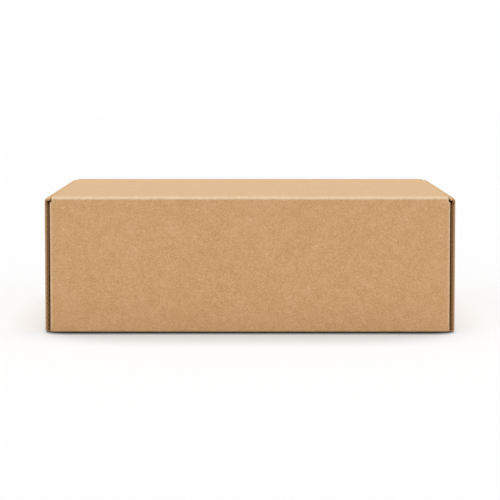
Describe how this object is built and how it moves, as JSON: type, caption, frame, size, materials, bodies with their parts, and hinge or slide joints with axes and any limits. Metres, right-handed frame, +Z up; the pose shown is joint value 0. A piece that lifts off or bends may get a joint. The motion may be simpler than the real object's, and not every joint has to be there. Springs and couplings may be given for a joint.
{
  "type": "mailer box",
  "caption": "Closed corrugated mailer box folded from one die-cut sheet, with doubled side walls and a tuck-in lid on a folded hinge.",
  "frame": {"origin": "middle of the underside, on the surface the box stands on", "axes": "+Z up, X along the lid's fold, -Y out of the hinge wall that the picture shows, +Y out of the wall where the flap tucks in"},
  "size_m": [0.322, 0.238, 0.1065],
  "materials": {
    "kraft_board": "uncoated brown kraft liner"
  },
  "bodies": {
    "tray": {"tray": "kraft_board"},
    "lid": {"lid": "kraft_board"}
  },
  "joints": [
    {"name": "lid_fold", "type": "hinge", "parent": "tray", "child": "lid", "pos_m": [0, -0.11861, 0.10611], "axis": [1, 0, 0], "range_deg": [0, 180]}
  ]
}
